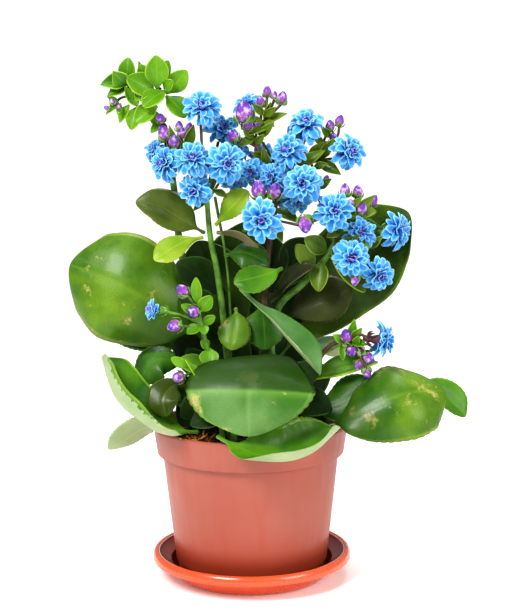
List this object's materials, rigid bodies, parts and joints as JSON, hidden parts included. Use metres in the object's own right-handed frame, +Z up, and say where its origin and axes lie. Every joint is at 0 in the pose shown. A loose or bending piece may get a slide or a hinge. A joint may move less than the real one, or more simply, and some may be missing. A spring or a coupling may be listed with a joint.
{
  "type": "potted kalanchoe",
  "caption": "Double-flowered kalanchoe with blue rosettes, violet buds and thick scalloped leaves, in a terracotta-coloured plastic pot on its saucer.",
  "frame": {"origin": "centre of the saucer's flat underside", "axes": "+Z up, along the pot's axis; +X to the right and -Y towards the viewer in front of the plant"},
  "size_m": [0.2416, 0.1661, 0.318],
  "materials": {
    "pot_plastic": "satin",
    "saucer_plastic": "gloss",
    "soil": "matte",
    "bark": "matte",
    "leaf_green": "satin",
    "leaf_lime": "satin",
    "leaf_olive": "satin",
    "petals": "matte",
    "stem_green": "satin",
    "stem_brown": "satin"
  },
  "bodies": {
    "root": {"saucer": "saucer_plastic", "pot": "pot_plastic", "soil": "soil", "bark_chips": "bark", "leaf_left_big": "leaf_green", "leaf_left_under": "leaf_green", "leaf_node_left_back": "leaf_olive", "leaf_node_left": "leaf_lime", "leaf_node_up": "leaf_lime", "leaf_node_right": "leaf_olive", "leaf_back_upright": "leaf_green", "leaf_mid_dark": "leaf_green", "leaf_mid_round": "leaf_green", "leaf_long_folded": "leaf_green", "leaf_front": "leaf_green", "leaf_over_rim": "leaf_green", "leaf_rim_left": "leaf_green", "leaf_hanging": "leaf_green", "leaf_back_left": "leaf_green", "leaf_grey_round": "leaf_olive", "leaf_mid_blotched": "leaf_green", "leaf_mid_shaded": "leaf_green", "leaf_right_big": "leaf_olive", "leaf_right_brown": "leaf_olive", "leaf_right_grey": "leaf_olive", "leaf_right_droop": "leaf_green", "leaf_right_far": "leaf_green", "leaf_right_dark": "leaf_green", "leaf_left_inner": "leaf_green", "leaf_behind_left": "leaf_green", "leaf_behind_right": "leaf_green", "leaf_behind_rim": "leaf_green", "flower_left_1": "petals", "flower_left_2": "petals", "flower_left_3": "petals", "flower_left_4": "petals", "flower_left_5": "petals", "flower_left_6": "petals", "flower_left_7": "petals", "flower_mid_1": "petals", "flower_mid_2": "petals", "flower_right_1": "petals", "flower_right_2": "petals", "flower_right_3": "petals", "flower_right_4": "petals", "flower_right_5": "petals", "flower_right_6": "petals", "flower_right_7": "petals", "flower_right_8": "petals", "flower_right_9": "petals", "flower_right_10": "petals", "flower_right_11": "petals", "flower_low_left": "petals", "flower_low_right": "petals", "spray_left": "stem_green", "spray_mid": "stem_brown", "spray_right": "stem_green", "shoot_top_left": "stem_brown", "spray_low_left": "stem_green", "spray_low_right": "stem_brown"}
  },
  "joints": []
}
